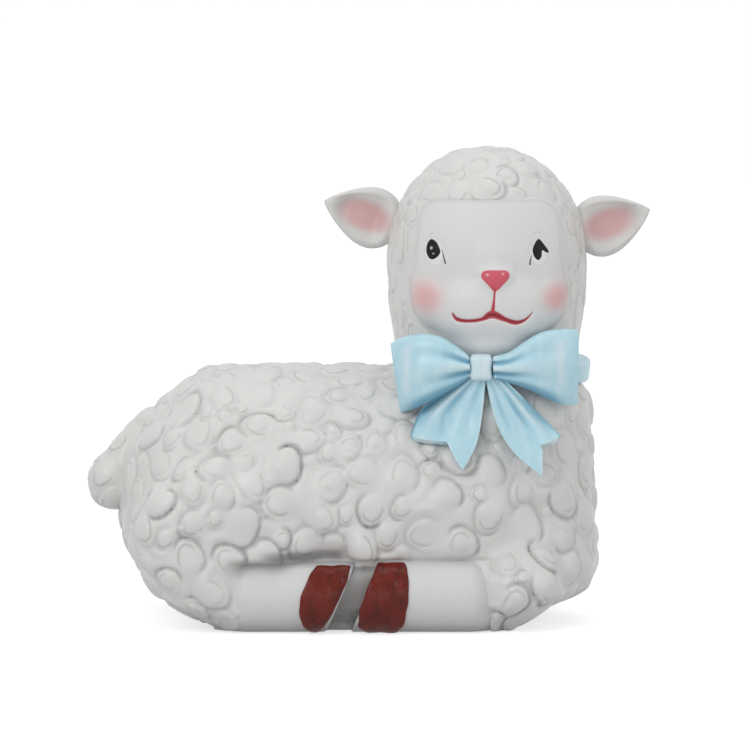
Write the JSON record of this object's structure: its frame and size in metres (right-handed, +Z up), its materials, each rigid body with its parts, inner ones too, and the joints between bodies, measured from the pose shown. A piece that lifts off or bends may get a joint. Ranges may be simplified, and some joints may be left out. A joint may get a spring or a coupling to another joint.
{
  "type": "sheep figurine",
  "caption": "Lying lamb ornament of cast, painted resin: curly fleece, head turned to the side, cupped ears, ribbon with a bow, folded legs with brown hooves, flat base.",
  "frame": {"origin": "on the flat underside, below the middle of the barrel", "axes": "+Z up; the rump points to -X and the chest to +X; the face looks along -Y"},
  "size_m": [0.1366, 0.0736, 0.1142],
  "materials": {
    "fleece_paint": "cast resin, painted white with a grey wash in the hollows",
    "face_paint": "cast resin, smooth white paint with hand-painted eyes, nose and mouth",
    "ear_paint": "cast resin, white paint, pink inside",
    "leg_paint": "cast resin, smooth white paint",
    "hoof_paint": "cast resin, glossy brown paint",
    "ribbon_paint": "cast resin, pale blue satin paint",
    "bung": "moulded plastic stopper, matt"
  },
  "bodies": {
    "root": {"body": "fleece_paint", "base_bung": "bung", "head": "fleece_paint", "face": "face_paint", "ear_left": "ear_paint", "ear_right": "ear_paint", "tail": "fleece_paint", "neck_ribbon": "ribbon_paint", "bow_knot": "ribbon_paint", "bow_loop_left": "ribbon_paint", "bow_loop_right": "ribbon_paint", "bow_tail_left": "ribbon_paint", "bow_tail_right": "ribbon_paint", "near_hind_leg": "leg_paint", "near_fore_leg": "leg_paint", "far_hind_leg": "leg_paint", "far_fore_leg": "leg_paint", "near_hind_hoof": "hoof_paint", "near_fore_hoof": "hoof_paint", "far_hind_hoof": "hoof_paint", "far_fore_hoof": "hoof_paint"}
  },
  "joints": []
}
